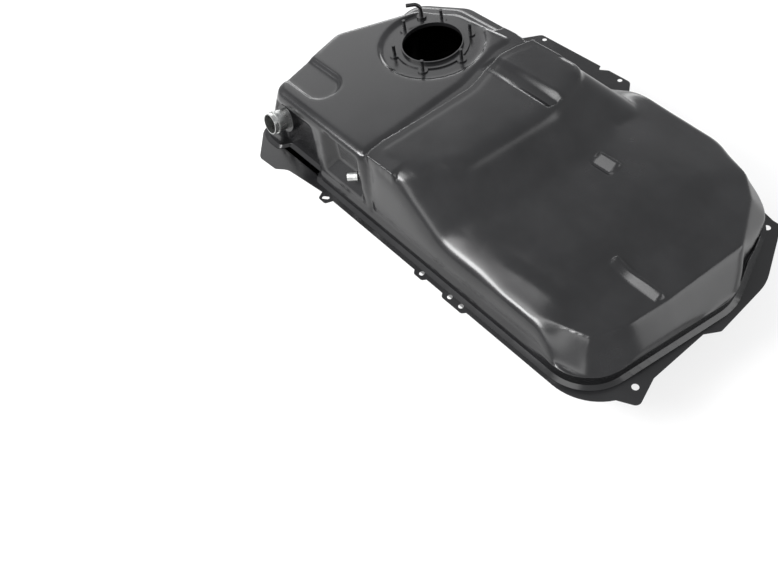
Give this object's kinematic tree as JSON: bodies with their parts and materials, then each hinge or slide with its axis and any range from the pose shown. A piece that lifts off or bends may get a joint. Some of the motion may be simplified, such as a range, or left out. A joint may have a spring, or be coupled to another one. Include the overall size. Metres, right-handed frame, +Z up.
{
  "type": "car fuel tank",
  "caption": "Pressed steel car fuel tank with a round studded pump opening on a raised deck, a filler neck on one long side, a bent vent pipe and a seam flange with mounting holes.",
  "frame": {"origin": "the point of the flat belly straight below the centre of the pump opening", "axes": "+X from the pump end to the shallow end, -Y towards the filler side, +Z up"},
  "size_m": [0.9514, 0.6006, 0.2775],
  "materials": {
    "tank_coat": "satin black dip coat",
    "fitting_coat": "glossy black",
    "plated_steel": "plated",
    "plain_steel": "plain"
  },
  "bodies": {
    "root": {"upper_shell": "tank_coat", "lower_shell": "tank_coat", "pump_mount_ring": "tank_coat", "pump_studs": "fitting_coat", "filler_neck": "plated_steel", "filler_neck_collar": "tank_coat", "vent_pipe": "fitting_coat", "vent_pipe_boss": "tank_coat", "breather_nipple": "fitting_coat", "breather_cap": "plated_steel", "baffle_pump_side": "plain_steel", "baffle_shallow_side": "plain_steel", "pump_pot": "plain_steel"}
  },
  "joints": []
}
